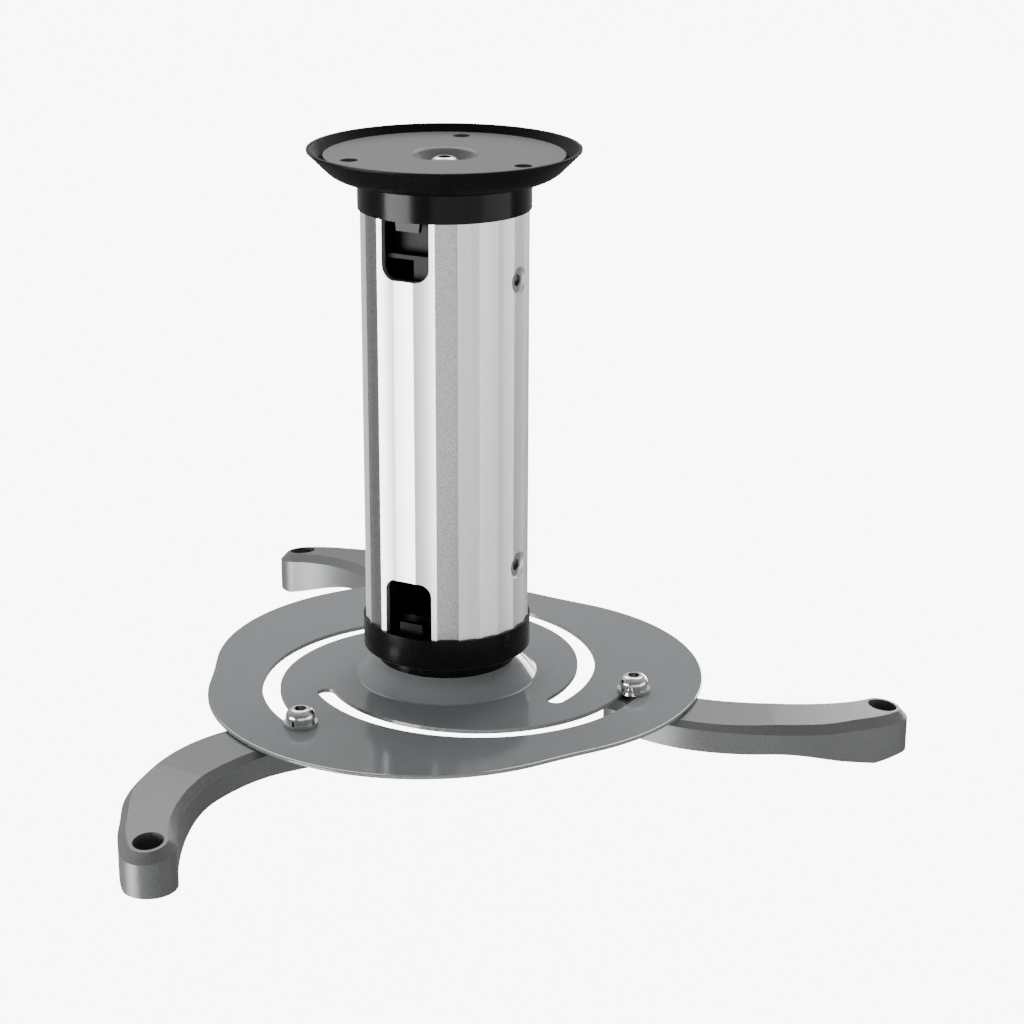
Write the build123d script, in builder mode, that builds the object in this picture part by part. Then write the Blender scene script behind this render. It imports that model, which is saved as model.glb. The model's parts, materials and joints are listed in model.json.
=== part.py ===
from build123d import *
import os
from math import cos, radians, sin, sqrt

# A projector ceiling mount. Millimetres, +Z up, the origin at the centre of the ceiling
# plate's mounting face. The column's cable windows face -Y.

# Clearances
turn_gap = 0.1          # between flat faces that slide or turn on each other
curve_gap = 0.3         # between curved faces that slide or turn on each other
fit_gap = 0.1           # round a moulding or a screw in the hole that holds it
thread_gap = 0.05       # round a thread

# Ceiling plate
sheet = 2.0
ceiling_r = 42.2
ceiling_turn = -10.8    # where the first fixing hole stands
fixing_holes = 3
fixing_circle_r = 34.8
fixing_hole_r = 3.1
dish_mouth_r = 12.0
dish_floor_r = 7.0
dish_depth = 4.3
dish_bend_r = 3.0

# Canopy
canopy_rim_r = 48.0
canopy_rise = 2.2       # rim above the ceiling plate's face
canopy_land = 0.6       # upright band at the rim
canopy_wall = 1.3
canopy_cone = 6.2       # height of the 45 degree cone
canopy_depth = 7.8      # lowest edge below the ceiling plate's face

# Column
ridge_r = 29.86
flutes = 24
flute_depth = 0.3       # hollow of each flute below the straight line between its ridges
bore_r = 27.0
column_top = -18.5
column_length = 151.5
window_side = -90       # where the windows stand, in the middle of a flute
window_width = 18.7
window_depth = 20.9
window_corner_r = 5.0

# Collars
collar_r = 30.6
collar_height = 11.4
collar_web = 3.0
collar_edge = 0.4       # bevel on the edge away from the column
collar_ring_r = 25.4
collar_ring_height = 4.8
collar_wall = 3.0
hub_r = 7.8
tab_width = 9.8
tab_tip_width = 8.9
tab_height = 4.1
tab_thickness = 2.0
tab_inset = 0.8         # tab's face inside the column's bore

# Plugs inside the column
plug_length = 29.5
plug_wall = 4.3
plug_roof = 4.6
plug_face_y = 24.5      # flat face behind the window, from the axis
pocket_width = 20.6     # pocket in that face, behind the collar's tab
pocket_depth = 5.0
pocket_back = 2.0       # wall between the pocket and the hollow
upper_pocket = 12.6     # upper pocket's height, down to its ledge
mouth_width = 10.5      # upper plug's cable mouth, off to one side
mouth_shift = -3.75
mouth_start = 14.1
mouth_height = 6.8
set_screw_depth = 23.2  # set screw's axis below the column's end

# Screws, bolts, washers and nuts
hex_flats = 4.0         # one key fits every screw
hex_depth = 1.6
screw_r = 3.0           # arm screws and pivot bolts, with button heads
head_r = 5.25
head_height = 3.3
head_skirt = 0.4        # upright band at the foot of the head
head_crown_r = 2.9      # flat on top of the head
arm_screw_length = 13.0
set_screw_r = 2.5
set_screw_length = 9.0
set_head_r = 4.2
set_recess = 0.7        # head's face below the flute
bolt_end = 1.2          # thread past the nut
bolt_washer_r = 6.0
bolt_washer_height = 1.6
nut_flats = 10.0
nut_height = 6.0
nut_collar_r = 4.4
nut_collar = 1.0        # round part of the nut's height
spring_washer_r = 5.0
spring_washer_height = 1.6
spring_split = 1.0
flat_washer_r = 6.0
flat_washer_height = 1.2

# Projector plate
plate_sheet = 1.5
plate_turn = 27.7       # where the first lobe stands
lobe_offset = 15.6
lobe_r = 79.2
waist_r = 300.0
rim_round = 0.5
dome_r = 44.0
dome_foot_r = 33.2      # where the dome meets the sheet
dome_hole_r = 12.6
dome_bend_r = 1.0
slot_centre_r = 12.36   # slot's centre of curvature from the axis
slot_centre_turn = 12.97
slot_r = 60.38
slot_width = 6.4
slot_start = 190.4      # both ends of the slot's centre line, and the screw's place in it
slot_end = 327.8
slot_rest = 326.3
dome_washer_r = 20.5
dome_washer_hole_r = 9.4
dome_washer_sheet = 2.0
clamp_washer_r = 15.0
clamp_washer_height = 2.0

# Arms
arm_length = 91.2       # screw to foot hole
arm_root_r = 11.0
arm_foot_r = 9.3
arm_bulge = 30.0        # outer edge from the straight line between the holes
arm_hollow = 5.0        # inner edge from the same line
arm_crown_r = 520.0     # crown along the arm's top
arm_crown_x = 20.0      # highest part of the crown, from the screw
arm_crown_cut = 0.8     # taken off the crown to make a level seat
arm_bevel = 2.9
arm_depth = 10.3
foot_depth = 20.3       # foot's underside below the arm's level top
foot_start = 87.0       # foot's underside from the screw
bend_start = 46.0       # where the underside starts to fall
foot_fall = 0.27        # how steeply it comes to the foot
foot_bore_r = 5.2
foot_floor = 4.0
foot_screw_r = 3.2

# Where the arm's edges leave and meet the circles of its root and foot, in degrees
outer_leaves = 225
outer_meets = -45
inner_leaves = 130
inner_meets = 54

# Shares of arm_length and of arm_bulge or arm_hollow that the arm's edges run through
outer_run = ((0.154, 0.804), (0.417, 1.0), (0.658, 0.946), (0.789, 0.814), (0.888, 0.632))
inner_run = ((0.79, 0.085), (0.526, 1.0), (0.307, 0.51))

# Places that follow from those sizes
column_bottom = column_top - column_length
screw_hole_r = screw_r + fit_gap
dish_floor = -dish_depth
dish_under = dish_floor - sheet
lower_ring_end = column_bottom - collar_height - collar_ring_height
dome_centre = lower_ring_end - sqrt((dome_r + curve_gap) ** 2 - collar_ring_r**2)
plate_top = dome_centre + sqrt(dome_r**2 - dome_foot_r**2)
plate_under = plate_top - plate_sheet
lobe_angles = {"right": 0, "left": 120, "front": 240}
arm_turns = {"right": 0.5, "left": 1.5, "front": 2.0}

os.makedirs("parts", exist_ok=True)


def save(part, name):
    """Label one finished piece and write it to its own file."""
    part.label = name
    export_step(part, f"parts/{name}.step")


def polar(radius, angle, centre=(0, 0)):
    """The point at a radius and an angle in degrees about a centre."""
    return (centre[0] + radius * cos(radians(angle)), centre[1] + radius * sin(radians(angle)))


def make_washer(outer_r, inner_r, height, split_width=0):
    """A flat ring on the origin's plane, cut through on one side where it is split."""
    with BuildPart() as washer:
        with BuildSketch():
            Circle(outer_r)
            Circle(inner_r, mode=Mode.SUBTRACT)
            if split_width:
                with Locations((outer_r, 0)):
                    Rectangle(outer_r, split_width, mode=Mode.SUBTRACT)
        extrude(amount=height)
    return washer.part


def make_button_screw(length):
    """A button-head socket screw, its head above the origin and its shank below."""
    with BuildPart() as screw:
        with BuildSketch(Plane.XZ):
            with BuildLine():
                skirt = Line((head_r, 0), (head_r, head_skirt))
                curve = TangentArc(skirt @ 1, (head_crown_r, head_height), tangent=skirt % 1)
                Polyline(
                    curve @ 1,
                    (0, head_height),
                    (0, -length),
                    (screw_r, -length),
                    (screw_r, 0),
                    skirt @ 0,
                )
            make_face()
        revolve(axis=Axis.Z)
        with BuildSketch(Plane.XY.offset(head_height)):
            RegularPolygon(hex_flats / 2, 6, major_radius=False)
        extrude(amount=-hex_depth, mode=Mode.SUBTRACT)
    return screw.part


def make_set_screw():
    """A countersunk socket screw, the face of its head on the origin's plane."""
    with BuildPart() as screw:
        with BuildSketch(Plane.XZ):
            with BuildLine():
                Polyline(
                    (0, 0),
                    (set_head_r, 0),
                    (set_screw_r, set_screw_r - set_head_r),
                    (set_screw_r, -set_screw_length),
                    (0, -set_screw_length),
                    close=True,
                )
            make_face()
        revolve(axis=Axis.Z)
        with BuildSketch():
            RegularPolygon(hex_flats / 2, 6, major_radius=False)
        extrude(amount=-hex_depth, mode=Mode.SUBTRACT)
    return screw.part


def make_lock_nut():
    """A hexagon nut with a round collar, its seat on the origin's plane."""
    with BuildPart() as nut:
        with BuildSketch():
            RegularPolygon(nut_flats / 2, 6, major_radius=False)
        extrude(amount=nut_height - nut_collar)
        with BuildSketch(Plane.XY.offset(nut_height - nut_collar)):
            Circle(nut_collar_r)
        extrude(amount=nut_collar)
        Hole(screw_r + thread_gap)
    return nut.part


def make_collar():
    """A stepped cup standing on the column's upper end, with a tab that hangs in the window."""
    top = collar_height + collar_ring_height
    with BuildPart() as collar:
        with BuildSketch(Plane.XZ):
            with BuildLine():
                Polyline(
                    (screw_hole_r, 0),
                    (collar_r, 0),
                    (collar_r, collar_height - collar_edge),
                    (collar_r - collar_edge, collar_height),
                    (collar_ring_r, collar_height),
                    (collar_ring_r, top),
                    (collar_ring_r - collar_wall, top),
                    (collar_ring_r - collar_wall, collar_web),
                    (screw_hole_r, collar_web),
                    close=True,
                )
            make_face()
        revolve(axis=Axis.Z)
        with BuildSketch(Plane.XZ.offset(bore_r - tab_inset)):
            with BuildLine():
                Polyline(
                    (-tab_width / 2, 0),
                    (-tab_tip_width / 2, -tab_height),
                    (tab_tip_width / 2, -tab_height),
                    (tab_width / 2, 0),
                    close=True,
                )
            make_face()
        extrude(amount=-tab_thickness)
    return collar.part


def make_plug(pocket_height, mouth_x, mouth_size, mouth_top):
    """A roofed cup under the column's upper end, with a pocket in its flat face and a cable mouth."""
    radius = bore_r - fit_gap
    hollow_r = radius - plug_wall
    back_y = plug_face_y - pocket_depth
    with BuildPart() as plug:
        with BuildSketch():
            Circle(radius)
        extrude(amount=-plug_length)
        with BuildSketch(Plane.XY.offset(-plug_roof)):
            Circle(hollow_r)
            with Locations((0, pocket_back - back_y)):
                Rectangle(2 * hollow_r, 2 * hollow_r, align=(Align.CENTER, Align.MIN), mode=Mode.INTERSECT)
        extrude(amount=plug_roof - plug_length, mode=Mode.SUBTRACT)
        flat_cut = (plug_face_y, 2 * radius, plug_length)
        pocket_cut = (back_y, pocket_width, pocket_height)
        for face_y, width, height in (flat_cut, pocket_cut):
            with BuildSketch(Plane.XZ.offset(face_y)):
                Rectangle(width, height, align=(Align.CENTER, Align.MAX))
            extrude(amount=radius, mode=Mode.SUBTRACT)
        with BuildSketch(Plane.XZ.offset(back_y - pocket_back)):
            with Locations((mouth_x, -mouth_top)):
                Rectangle(*mouth_size, align=(Align.CENTER, Align.MAX))
        extrude(amount=radius, mode=Mode.SUBTRACT)
        Hole(screw_hole_r)
        with Locations(Plane((radius, 0, -set_screw_depth), x_dir=(0, 1, 0), z_dir=(1, 0, 0))):
            Hole(set_screw_r + thread_gap, depth=2 * plug_wall)
    return plug.part


def make_arm():
    """A curved cast arm: its screw hole on the origin's axis, its foot hole along +X."""
    top = plate_under - turn_gap
    bottom = top - foot_depth
    foot = (arm_length, 0)
    with BuildPart() as arm:
        with BuildSketch(Plane.XY.offset(bottom)):
            with BuildLine():
                outer = Spline(
                    polar(arm_root_r, outer_leaves),
                    *((share_x * arm_length, -share_y * arm_bulge) for share_x, share_y in outer_run),
                    polar(arm_foot_r, outer_meets, foot),
                    tangents=(polar(1, outer_leaves + 90), polar(1, outer_meets + 90)),
                )
                inner = Spline(
                    polar(arm_foot_r, inner_leaves, foot),
                    *((share_x * arm_length, -share_y * arm_hollow) for share_x, share_y in inner_run),
                    polar(arm_root_r, inner_meets),
                    tangents=(polar(1, inner_leaves + 90), polar(1, inner_meets + 90)),
                )
                foot_end = polar(arm_foot_r, (outer_meets + inner_leaves) / 2, foot)
                ThreePointArc(outer @ 1, foot_end, inner @ 0)
                root_end = polar(arm_root_r, (inner_meets + outer_leaves) / 2)
                ThreePointArc(inner @ 1, root_end, outer @ 0)
            make_face()
        extrude(amount=2 * foot_depth)
        with BuildSketch(Plane.XZ):
            with Locations((arm_crown_x, top + arm_crown_cut - arm_crown_r)):
                Circle(arm_crown_r)
        extrude(amount=2 * arm_bulge, both=True, mode=Mode.INTERSECT)
        chamfer(arm.faces().sort_by(Axis.Z)[-1].edges(), arm_bevel)
        split(bisect_by=Plane.XY.offset(top), keep=Keep.BOTTOM)
        with BuildSketch(Plane.XZ):
            with BuildLine():
                Spline(
                    (bend_start, top - arm_depth),
                    (foot_start, bottom),
                    tangents=((1, 0), (1, -foot_fall)),
                )
                Polyline(
                    (foot_start, bottom),
                    (foot_start, bottom - arm_depth),
                    (-2 * arm_root_r, bottom - arm_depth),
                    (-2 * arm_root_r, top - arm_depth),
                    (bend_start, top - arm_depth),
                )
            make_face()
        extrude(amount=2 * arm_bulge, both=True, mode=Mode.SUBTRACT)
        with BuildSketch(Plane.XY.offset(bottom)):
            Circle(screw_r + thread_gap)
            with Locations(foot):
                Circle(foot_screw_r)
        extrude(amount=foot_depth, mode=Mode.SUBTRACT)
        with BuildSketch(Plane.XY.offset(bottom + foot_floor)):
            with Locations(foot):
                Circle(foot_bore_r)
        extrude(amount=foot_depth, mode=Mode.SUBTRACT)
    return arm.part


# Ceiling plate: a disc with a dished centre and three fixing holes
with BuildPart() as ceiling_plate:
    with BuildSketch(Plane.XZ) as section:
        with BuildLine():
            Polyline(
                (screw_hole_r, dish_floor),
                (dish_floor_r, dish_floor),
                (dish_mouth_r, 0),
                (ceiling_r, 0),
                (ceiling_r, -sheet),
                (dish_mouth_r + sheet / 2, -sheet),
                (dish_floor_r + sheet / 2, dish_under),
                (screw_hole_r, dish_under),
                close=True,
            )
        make_face()
        bends = section.vertices().filter_by_position(Axis.X, dish_floor_r, dish_mouth_r + sheet / 2)
        fillet(bends, dish_bend_r)
    revolve(axis=Axis.Z)
    with BuildSketch():
        with PolarLocations(fixing_circle_r, fixing_holes, ceiling_turn):
            Circle(fixing_hole_r)
    extrude(amount=-sheet, mode=Mode.SUBTRACT)
save(ceiling_plate.part, "ceiling_plate")

# Canopy: a thin conical cup, the same curve revolved twice, whose neck runs on the column
neck_r = collar_r + curve_gap
cone_top = canopy_rise - canopy_land
with BuildPart() as canopy:
    for lift, mode in ((0, Mode.ADD), (canopy_wall * sqrt(2), Mode.SUBTRACT)):
        with BuildSketch(Plane.XZ):
            with BuildLine():
                cone = Line(
                    (canopy_rim_r, cone_top + lift),
                    (canopy_rim_r - canopy_cone, cone_top - canopy_cone + lift),
                )
                under = TangentArc(cone @ 1, (neck_r, -canopy_depth + lift), tangent=cone % 1)
                Polyline(
                    under @ 1,
                    (0, -canopy_depth + lift),
                    (0, canopy_rise + lift),
                    (canopy_rim_r, canopy_rise + lift),
                    cone @ 0,
                )
            make_face()
        revolve(axis=Axis.Z, mode=mode)
    Hole(neck_r)
save(canopy.part, "canopy")

# Column: a fluted tube with a window and a countersunk hole at each end
flute_angle = 360 / flutes
flute_r = ridge_r * cos(radians(flute_angle / 2)) - flute_depth
sink_r = set_head_r + set_recess + fit_gap
with BuildPart() as column:
    with BuildSketch(Plane.XY.offset(column_bottom)):
        with BuildLine():
            for flute in range(flutes):
                middle = window_side + flute * flute_angle
                ThreePointArc(
                    polar(ridge_r, middle - flute_angle / 2),
                    polar(flute_r, middle),
                    polar(ridge_r, middle + flute_angle / 2),
                )
        make_face()
        Circle(bore_r, mode=Mode.SUBTRACT)
    extrude(amount=column_length)
    for end, inward in ((column_top, -1), (column_bottom, 1)):
        with BuildSketch(Plane.XZ) as window:
            with Locations((0, end)):
                Rectangle(window_width, 2 * window_depth)
            fillet(window.vertices(), window_corner_r)
        extrude(amount=collar_r, mode=Mode.SUBTRACT)
        screw_z = end + inward * set_screw_depth
        with Locations(Plane((flute_r, 0, screw_z), x_dir=(0, 1, 0), z_dir=(1, 0, 0))):
            CounterSinkHole(set_screw_r + fit_gap, sink_r, depth=bore_r / 2, counter_sink_angle=90)
save(column.part, "column")

# Collars: the upper one's hub carries the dish, the lower one's ring is hollowed for the dome
hub = make_washer(hub_r, screw_hole_r, dish_under - turn_gap - column_top)
save(Pos(0, 0, column_top) * (make_collar() + hub), "upper_collar")
dome_seat = Pos(0, 0, dome_centre) * Sphere(dome_r + curve_gap)
save(Pos(0, 0, column_bottom) * Rot(0, 180, 0) * make_collar() - dome_seat, "lower_collar")

# Plugs: the upper one has a small mouth under its pocket, the lower one's pocket is open above its roof
upper_plug = make_plug(upper_pocket, mouth_shift, (mouth_width, mouth_height), mouth_start)
save(Pos(0, 0, column_top) * upper_plug, "upper_plug")
lower_plug = make_plug(window_depth, 0, (pocket_width, window_depth - plug_roof), plug_roof)
save(Pos(0, 0, column_bottom) * mirror(lower_plug, about=Plane.XY), "lower_plug")

# Set screws: one through the column into each plug
set_screw = Rot(0, 90, 0) * make_set_screw()
save(Pos(flute_r - set_recess, 0, column_top - set_screw_depth) * set_screw, "upper_set_screw")
save(Pos(flute_r - set_recess, 0, column_bottom + set_screw_depth) * set_screw, "lower_set_screw")

# Upper pivot: a bolt through the dish, with a washer and a lock nut under the plug's roof
bolt_washer = make_washer(bolt_washer_r, screw_hole_r, bolt_washer_height)
lock_nut = make_lock_nut()
upper_nut_seat = column_top - plug_roof - turn_gap - bolt_washer_height
upper_bolt_length = dish_floor - upper_nut_seat + nut_height + bolt_end
save(Pos(0, 0, dish_floor) * make_button_screw(upper_bolt_length), "upper_pivot_bolt")
save(Pos(0, 0, upper_nut_seat) * bolt_washer, "upper_washer")
save(Pos(0, 0, upper_nut_seat) * Rot(180, 0, 0) * lock_nut, "upper_lock_nut")

# Projector plate: a three-lobed sheet with a pressed dome and three slots along arcs
slot_lines = []
for lobe_angle in lobe_angles.values():
    slot_turn = plate_turn + lobe_angle + slot_centre_turn
    slot_centre = polar(slot_centre_r, slot_turn)
    slot_lines.append(CenterArc(slot_centre, slot_r, slot_turn + slot_start, slot_end - slot_start))
with BuildPart() as projector_plate:
    with BuildSketch(Plane.XY.offset(plate_under)) as outline:
        with PolarLocations(lobe_offset, len(lobe_angles), plate_turn):
            Circle(lobe_r)
        fillet(outline.vertices().group_by(SortBy.DISTANCE)[0], waist_r)
    extrude(amount=plate_sheet)
    fillet(projector_plate.edges().filter_by(Plane.XY), rim_round)
    with Locations((0, 0, dome_centre)):
        Sphere(dome_r)
    split(bisect_by=Plane.XY.offset(plate_under), keep=Keep.TOP)
    circles = projector_plate.edges().filter_by(GeomType.CIRCLE)
    fillet(circles.filter_by(lambda e: abs(e.radius - dome_foot_r) < turn_gap), dome_bend_r)
    with Locations((0, 0, dome_centre)):
        Sphere(dome_r - plate_sheet, mode=Mode.SUBTRACT)
    with BuildSketch(Plane.XY.offset(plate_under)):
        Circle(dome_hole_r)
    extrude(amount=dome_r, mode=Mode.SUBTRACT)
    with BuildSketch(Plane.XY.offset(plate_under)):
        for slot_line in slot_lines:
            SlotArc(slot_line, slot_width)
    extrude(amount=plate_sheet, mode=Mode.SUBTRACT)
save(projector_plate.part, "projector_plate")

# Lower pivot: a spherical washer under the dome, clamped by a bolt from below
cap_r = dome_r - plate_sheet - curve_gap
with BuildPart() as dome_washer:
    with Locations((0, 0, dome_centre)):
        Sphere(cap_r)
        Sphere(cap_r - dome_washer_sheet, mode=Mode.SUBTRACT)
    with BuildSketch(Plane.XY.offset(dome_centre)):
        Circle(dome_washer_r)
        Circle(dome_washer_hole_r, mode=Mode.SUBTRACT)
    extrude(amount=dome_r, mode=Mode.INTERSECT)
save(dome_washer.part, "dome_washer")

clamp_top = dome_centre + sqrt((cap_r - dome_washer_sheet - curve_gap) ** 2 - clamp_washer_r**2)
clamp_seat = clamp_top - clamp_washer_height
lower_nut_seat = column_bottom + plug_roof + turn_gap + bolt_washer_height
lower_bolt_length = lower_nut_seat + nut_height + bolt_end - clamp_seat
lower_bolt = Rot(180, 0, 0) * make_button_screw(lower_bolt_length)
clamp_washer = make_washer(clamp_washer_r, screw_hole_r, clamp_washer_height)
save(Pos(0, 0, clamp_seat) * lower_bolt, "lower_pivot_bolt")
save(Pos(0, 0, clamp_seat) * clamp_washer, "clamp_washer")
save(Pos(0, 0, lower_nut_seat - bolt_washer_height) * bolt_washer, "lower_washer")
save(Pos(0, 0, lower_nut_seat) * lock_nut, "lower_lock_nut")

# Arms: three alike, each on a screw with two washers in its slot
arm = make_arm()
flat_washer = make_washer(flat_washer_r, screw_hole_r, flat_washer_height)
spring_washer = make_washer(spring_washer_r, screw_hole_r, spring_washer_height, spring_split)
arm_screw = make_button_screw(arm_screw_length)
flat_seat = plate_top + turn_gap
spring_seat = flat_seat + flat_washer_height
head_seat = spring_seat + spring_washer_height
for side, lobe_angle in lobe_angles.items():
    lobe_turn = plate_turn + lobe_angle
    slot_turn = lobe_turn + slot_centre_turn
    screw_x, screw_y = polar(slot_r, slot_turn + slot_rest, polar(slot_centre_r, slot_turn))
    at_screw = Pos(screw_x, screw_y, 0) * Rot(0, 0, lobe_turn + arm_turns[side])
    save(at_screw * arm, f"arm_{side}")
    save(at_screw * Pos(0, 0, flat_seat) * flat_washer, f"flat_washer_{side}")
    save(at_screw * Pos(0, 0, spring_seat) * spring_washer, f"spring_washer_{side}")
    save(at_screw * Pos(0, 0, head_seat) * arm_screw, f"arm_screw_{side}")
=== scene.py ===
import json
import math

import bpy
from mathutils import Matrix, Vector


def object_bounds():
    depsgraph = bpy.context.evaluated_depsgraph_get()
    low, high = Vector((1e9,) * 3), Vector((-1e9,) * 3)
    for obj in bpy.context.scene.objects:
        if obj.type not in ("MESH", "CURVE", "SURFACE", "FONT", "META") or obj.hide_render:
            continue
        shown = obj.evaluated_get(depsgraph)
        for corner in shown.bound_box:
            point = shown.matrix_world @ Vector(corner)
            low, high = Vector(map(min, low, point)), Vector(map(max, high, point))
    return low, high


# A projector ceiling mount, standing on its arms in a white studio. Metres, in the CAD model's frame.

MICRON = 0.000001

# Camera, at the photograph's angle
CAMERA_PLACE = (0.41705, -0.74295, 0.16112)
CAMERA_FORWARD = (-0.43965, 0.83741, -0.32474)
CAMERA_ROLL = math.radians(0.23)
CAMERA_LENS = 86.99         # millimetres, as the sensor's width is
CAMERA_SENSOR = 36.0

# Floor and backdrop
FLOOR_SIZE = 30.0
FLOOR_DROP = 0.045          # below the feet, so that an arm clears the floor when the plate is tilted
FLOOR_COLOUR = 0.05         # dark, so that the softboxes leave no patches of light on it
FLOOR_GLOW = 9.0            # its own light makes it nearly white
FLOOR_ROUGHNESS = 0.9
FLOOR_GLOSS = 0.1
BACKDROP_HEIGHT = 12.0

# Light
SKY_BRIGHTEST = (-0.33, 0.63, 0.70)     # direction: above and behind the mount, as the camera sees it
SKY_DIM = 0.22
SKY_BRIGHT = 0.7
SOFTBOXES = (
    # name, place, the point that it faces, width, height, watts
    ("left_softbox", (-0.85, -1.2, -0.4), (0, 0, -0.1), 1.0, 0.9, 50),
    ("top_softbox", (-0.55, 1.05, 1.2), (0, 0, -0.2), 1.8, 1.2, 24),
    ("right_softbox", (1.41, 0.3, -0.2), (0, 0, -0.1), 1.2, 0.9, 9),
    ("back_softbox", (0.05, 2.0, 0.04), (0, 0, -0.2), 1.2, 0.36, 22),
    ("front_softbox", (1.27, -1.27, -0.35), (0, 0, -0.1), 2.4, 1.2, 12),
)

# Projector plate: grey paint, with a painted highlight of bright bare metal along the upper edge of the
# rim
PAINT_DARK = (0.205, 0.218, 0.226)
PAINT_LIGHT = (0.22, 0.233, 0.241)
PAINT_ROUGHNESS = 0.11
PAINT_GLOSS = 0.35
PAINT_SCALE = 1800
PAINT_GRAIN = 2 * MICRON
RIM_HIGHLIGHT_DARK = 0.5
RIM_HIGHLIGHT_LIGHT = 0.66
RIM_HIGHLIGHT_RADIUS = 0.08                          # from the plate's axis: the dome and the slots lie inside it
RIM_HIGHLIGHT_START = math.cos(math.radians(12))     # how far the rounded edge has turned from level
RIM_HIGHLIGHT_END = math.cos(math.radians(62))

# Column: brushed facets, and a blasted stripe on either side of the windows
FACET_DARK = 0.80
FACET_LIGHT = 0.86
FACET_ROUGHNESS = 0.5
BRUSH_SCALE = 900
BRUSH_STRETCH = (1, 1, 0.01)                # long marks, up and down the column
STRIPE_SIDE = math.radians(30)              # round the column, from the windows' middle to the stripe's
STRIPE_HALF = math.radians(7.5)             # half of the stripe's width
STRIPE_ROUGHNESS = 0.25
SPECKLE_DARK = 0.31
SPECKLE_LIGHT = 0.55
SPECKLE_SCALE = 3600

# Arms: cast, with a metallic lacquer
CAST_DARK = (0.112, 0.1155, 0.118)
CAST_LIGHT = (0.158, 0.163, 0.167)

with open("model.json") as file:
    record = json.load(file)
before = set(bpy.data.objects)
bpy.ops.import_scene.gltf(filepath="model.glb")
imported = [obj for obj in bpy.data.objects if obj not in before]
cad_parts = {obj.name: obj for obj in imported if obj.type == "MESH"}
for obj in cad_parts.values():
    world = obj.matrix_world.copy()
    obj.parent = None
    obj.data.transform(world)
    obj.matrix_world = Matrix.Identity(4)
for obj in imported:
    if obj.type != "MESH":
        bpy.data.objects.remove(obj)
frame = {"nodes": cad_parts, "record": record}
cad_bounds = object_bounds()


def grey(value):
    """A neutral colour."""
    return (value, value, value)


def new_material(name, colour, roughness, metallic=0.0, gloss=0.5):
    """A material of one colour, ready for its texture, with its node tree and its shader."""
    material = bpy.data.materials.new(name)
    material.use_nodes = True
    tree = material.node_tree
    shader = tree.nodes["Principled BSDF"]
    shader.inputs["Base Color"].default_value = (*colour, 1)
    shader.inputs["Roughness"].default_value = roughness
    shader.inputs["Metallic"].default_value = metallic
    shader.inputs["Specular IOR Level"].default_value = gloss
    return material, tree, shader


def add_noise(tree, scale, detail=2.0, stretch=(1, 1, 1)):
    """Noise over the object's own coordinates, with so many grains to the metre."""
    place = tree.nodes.new("ShaderNodeTexCoord")
    mapping = tree.nodes.new("ShaderNodeMapping")
    mapping.inputs["Scale"].default_value = stretch
    noise = tree.nodes.new("ShaderNodeTexNoise")
    noise.inputs["Scale"].default_value = scale
    noise.inputs["Detail"].default_value = detail
    tree.links.new(place.outputs["Object"], mapping.inputs["Vector"])
    tree.links.new(mapping.outputs["Vector"], noise.inputs["Vector"])
    return noise.outputs["Fac"]


def add_ramp(tree, value, dark, light, start=0.3, end=0.7):
    """A colour that goes from dark to light as a value goes from start to end."""
    ramp = tree.nodes.new("ShaderNodeValToRGB")
    ramp.color_ramp.elements[0].position = start
    ramp.color_ramp.elements[0].color = (*dark, 1)
    ramp.color_ramp.elements[1].position = end
    ramp.color_ramp.elements[1].color = (*light, 1)
    tree.links.new(value, ramp.inputs["Fac"])
    return ramp.outputs["Color"]


def add_bump(tree, shader, value, distance):
    """Grain on the surface, raised by a distance in metres."""
    bump = tree.nodes.new("ShaderNodeBump")
    bump.inputs["Distance"].default_value = distance
    bump.inputs["Strength"].default_value = 1.0
    tree.links.new(value, bump.inputs["Height"])
    tree.links.new(bump.outputs["Normal"], shader.inputs["Normal"])


def add_math(tree, operation, first, second=None):
    """One step of arithmetic on a socket, alone or with another socket or a number."""
    node = tree.nodes.new("ShaderNodeMath")
    node.operation = operation
    tree.links.new(first, node.inputs[0])
    if isinstance(second, (int, float)):
        node.inputs[1].default_value = second
    elif second is not None:
        tree.links.new(second, node.inputs[1])
    return node.outputs[0]


def split_axes(tree, vector):
    """A vector's X, Y and Z."""
    axes = tree.nodes.new("ShaderNodeSeparateXYZ")
    tree.links.new(vector, axes.inputs[0])
    return axes.outputs["X"], axes.outputs["Y"], axes.outputs["Z"]


def add_blend(tree, mask, outside, inside):
    """One colour where a mask is 0, and another where it is 1."""
    mix = tree.nodes.new("ShaderNodeMix")
    mix.data_type = "RGBA"
    tree.links.new(mask, mix.inputs["Factor"])
    tree.links.new(outside, mix.inputs["A"])
    tree.links.new(inside, mix.inputs["B"])
    return mix.outputs["Result"]


def grained(name, dark, light, roughness, scale, grain, metallic=0.0, gloss=0.5, shaded_hollow_width=0.0):
    """A fine grain in both colour and surface. Where a width is given, hollows up to it are darkened
    with painted shade.
    """
    material, tree, shader = new_material(name, light, roughness, metallic, gloss)
    noise = add_noise(tree, scale)
    colour = add_ramp(tree, noise, dark, light)
    if shaded_hollow_width:
        # painted shade: the colour is darkened in hollows, as far as nearby surfaces close them in
        shade = tree.nodes.new("ShaderNodeAmbientOcclusion")
        shade.only_local = True
        shade.inputs["Distance"].default_value = shaded_hollow_width
        tree.links.new(colour, shade.inputs["Color"])
        colour = shade.outputs["Color"]
    tree.links.new(colour, shader.inputs["Base Color"])
    add_bump(tree, shader, noise, grain)
    return material


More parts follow.
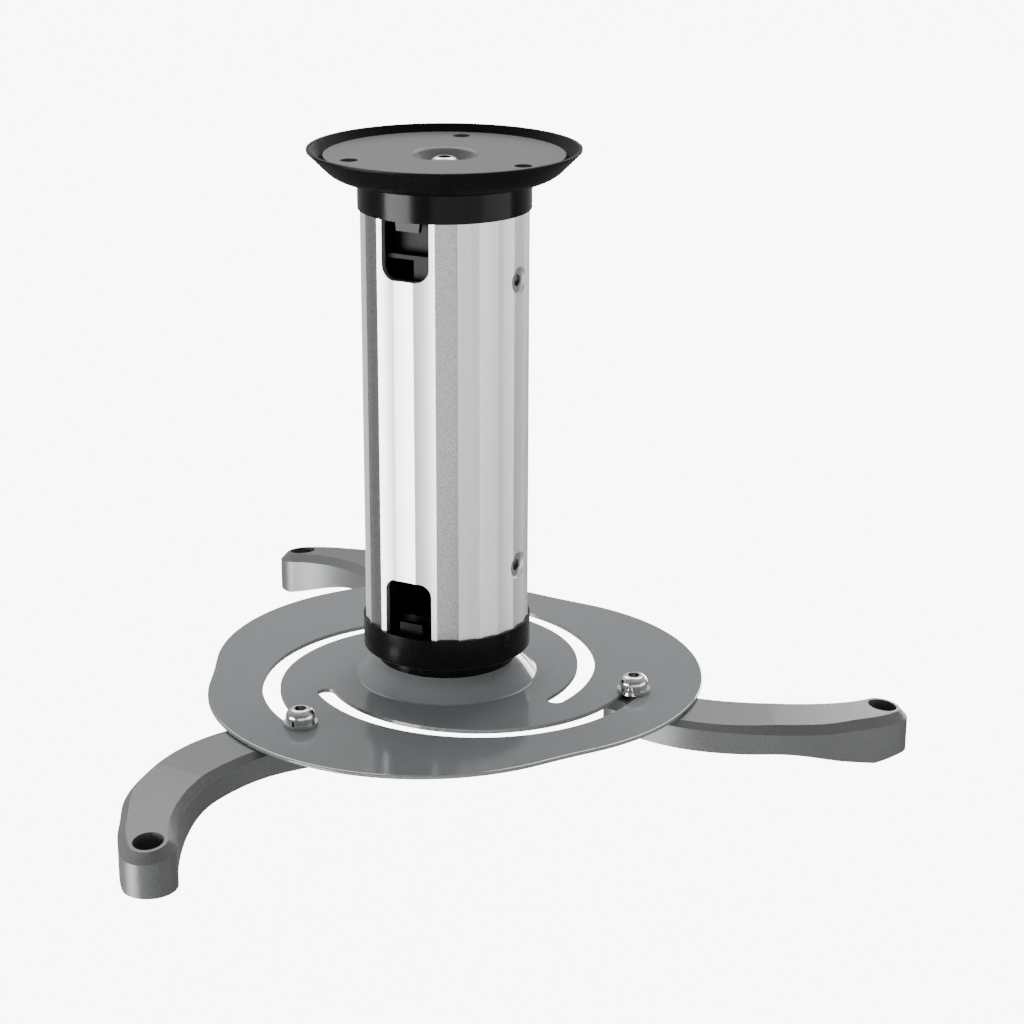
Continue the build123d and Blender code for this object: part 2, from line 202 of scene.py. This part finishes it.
def column_finish():
    """Anodised aluminium, brushed, with a speckled stripe on either side of the windows."""
    material, tree, shader = new_material(
        "anodised_fluted", grey(FACET_LIGHT), FACET_ROUGHNESS, metallic=1.0
    )
    place = tree.nodes.new("ShaderNodeTexCoord")
    x, y, _ = split_axes(tree, place.outputs["Object"])
    angle = add_math(tree, "ARCTAN2", x, add_math(tree, "MULTIPLY", y, -1))
    away = add_math(tree, "SUBTRACT", add_math(tree, "ABSOLUTE", angle), STRIPE_SIDE)
    stripe = add_math(tree, "LESS_THAN", add_math(tree, "ABSOLUTE", away), STRIPE_HALF)
    marks = add_noise(tree, BRUSH_SCALE, stretch=BRUSH_STRETCH)
    brushed = add_ramp(tree, marks, grey(FACET_DARK), grey(FACET_LIGHT))
    dots = add_noise(tree, SPECKLE_SCALE, detail=1.0)
    speckle = add_ramp(tree, dots, grey(SPECKLE_DARK), grey(SPECKLE_LIGHT), start=0.35, end=0.65)
    tree.links.new(add_blend(tree, stripe, brushed, speckle), shader.inputs["Base Color"])
    smoother = add_math(tree, "MULTIPLY", stripe, STRIPE_ROUGHNESS - FACET_ROUGHNESS)
    tree.links.new(add_math(tree, "ADD", smoother, FACET_ROUGHNESS), shader.inputs["Roughness"])
    return material


def plate_finish():
    """Glossy grey paint, with a painted highlight of bright bare metal along the upper edge of the rim.
    """
    material, tree, shader = new_material("grey_paint", PAINT_LIGHT, PAINT_ROUGHNESS, gloss=PAINT_GLOSS)
    noise = add_noise(tree, PAINT_SCALE)
    add_bump(tree, shader, noise, PAINT_GRAIN)
    place = tree.nodes.new("ShaderNodeTexCoord")
    x, y, _ = split_axes(tree, place.outputs["Object"])
    squared = add_math(tree, "ADD", add_math(tree, "MULTIPLY", x, x), add_math(tree, "MULTIPLY", y, y))
    outer = add_math(tree, "GREATER_THAN", squared, RIM_HIGHLIGHT_RADIUS**2)
    _, _, slope = split_axes(tree, place.outputs["Normal"])
    turned = add_math(tree, "LESS_THAN", slope, RIM_HIGHLIGHT_START)
    upper = add_math(tree, "GREATER_THAN", slope, RIM_HIGHLIGHT_END)
    # painted highlight: the rim's rounded upper edge, outside the dome and the slots, turns to bright
    # bare metal
    edge = add_math(tree, "MULTIPLY", add_math(tree, "MULTIPLY", turned, upper), outer)
    paint = add_ramp(tree, noise, PAINT_DARK, PAINT_LIGHT)
    rim_highlight = add_ramp(tree, noise, grey(RIM_HIGHLIGHT_DARK), grey(RIM_HIGHLIGHT_LIGHT))
    tree.links.new(add_blend(tree, edge, paint, rim_highlight), shader.inputs["Base Color"])
    tree.links.new(edge, shader.inputs["Metallic"])
    return material


# Finishes by the record's material slots; the ceiling plate has its own: the same grey paint, duller,
# and darker as painted shade
finishes = {
    "grey_paint": plate_finish(),
    "matte_black": grained(
        "matte_black",
        grey(0.002),
        grey(0.0035),
        roughness=0.4,
        scale=3000,
        grain=10 * MICRON,
        gloss=0.06,
    ),
    "gloss_black": grained(
        "gloss_black",
        grey(0.003),
        grey(0.004),
        roughness=0.2,
        scale=600,
        grain=1 * MICRON,
        gloss=0.13,
    ),
    "plug_black": grained(
        "plug_black",
        grey(0.003),
        grey(0.005),
        roughness=0.35,
        scale=2500,
        grain=5 * MICRON,
        gloss=0.08,
    ),
    "anodised": column_finish(),
    "cast_grey": grained(
        "cast_grey",
        CAST_DARK,
        CAST_LIGHT,
        roughness=0.38,
        scale=2600,
        grain=15 * MICRON,
        metallic=0.45,
    ),
    "zinc": grained(
        "zinc",
        grey(0.62),
        grey(0.74),
        roughness=0.18,
        scale=1500,
        grain=3 * MICRON,
        metallic=1.0,
        # painted shade in the screws' sockets and under the washers
        shaded_hollow_width=0.003,
    ),
}
own_finishes = {
    # the plate's grey paint, with painted shade darkening its colour
    "ceiling_plate": grained(
        "neutral_grey_paint",
        grey(0.175),
        grey(0.195),
        roughness=0.22,
        scale=1800,
        grain=3 * MICRON,
        gloss=0.15,
    ),
}
for part in frame["record"]["subparts"]:
    node = frame["nodes"][part["node"]]
    finish = own_finishes.get(part["node"], finishes[part["material_slot"]])
    for slot in node.material_slots:
        slot.material = finish

# Floor and backdrop. The photograph is cut out on white, so the camera alone sees them: they don't
# light the mount, show in its gloss or stand in the way of the softboxes.
floor_z = cad_bounds[0][2] - FLOOR_DROP
bpy.ops.mesh.primitive_plane_add(size=FLOOR_SIZE, location=(0, 0, floor_z))
floor = bpy.context.object
floor.name = "floor"
bpy.ops.mesh.primitive_cylinder_add(
    radius=FLOOR_SIZE / 2,
    depth=BACKDROP_HEIGHT,
    end_fill_type="NOTHING",
    location=(0, 0, floor_z + BACKDROP_HEIGHT / 2),
)
backdrop = bpy.context.object
backdrop.name = "backdrop"
pale, _, pale_shader = new_material("pale_floor", grey(FLOOR_COLOUR), FLOOR_ROUGHNESS, gloss=FLOOR_GLOSS)
pale_shader.inputs["Emission Color"].default_value = (1, 1, 1, 1)
pale_shader.inputs["Emission Strength"].default_value = FLOOR_GLOW
for surface in (floor, backdrop):
    surface.data.materials.append(pale)
    surface.visible_diffuse = False
    surface.visible_glossy = False
    surface.visible_shadow = False

# Sky: a studio that is brightest above and behind the mount
world = bpy.data.worlds.new("studio")
bpy.context.scene.world = world
world.use_nodes = True
sky_tree = world.node_tree
sky = sky_tree.nodes["Background"]
sky_place = sky_tree.nodes.new("ShaderNodeTexCoord")
facing = sky_tree.nodes.new("ShaderNodeVectorMath")
facing.operation = "DOT_PRODUCT"
facing.inputs[1].default_value = SKY_BRIGHTEST
sky_tree.links.new(sky_place.outputs["Generated"], facing.inputs[0])
sky_colour = add_ramp(
    sky_tree, facing.outputs["Value"], grey(SKY_DIM), grey(SKY_BRIGHT), start=0.0, end=1.0
)
sky_tree.links.new(sky_colour, sky.inputs["Color"])

# Softboxes: most stand low, because the arms' sides are bright in the photograph
for name, place, target, width, height, power in SOFTBOXES:
    softbox = bpy.data.lights.new(name, "AREA")
    softbox.shape = "RECTANGLE"
    softbox.size = width
    softbox.size_y = height
    softbox.energy = power
    light = bpy.data.objects.new(name, softbox)
    light.visible_camera = False
    bpy.context.scene.collection.objects.link(light)
    light.location = place
    light.rotation_euler = (Vector(target) - Vector(place)).to_track_quat("-Z", "Y").to_euler()

# Camera
forward = Vector(CAMERA_FORWARD).normalized()
level_right = forward.cross(Vector((0, 0, 1))).normalized()
level_up = level_right.cross(forward)
right = math.cos(CAMERA_ROLL) * level_right + math.sin(CAMERA_ROLL) * level_up
up = math.cos(CAMERA_ROLL) * level_up - math.sin(CAMERA_ROLL) * level_right
camera_data = bpy.data.cameras.new("camera")
camera_data.lens = CAMERA_LENS
camera_data.sensor_width = CAMERA_SENSOR
camera = bpy.data.objects.new("camera", camera_data)
bpy.context.scene.collection.objects.link(camera)
turn = Matrix((right, up, -forward)).transposed()
camera.matrix_world = Matrix.Translation(CAMERA_PLACE) @ turn.to_4x4()
bpy.context.scene.camera = camera
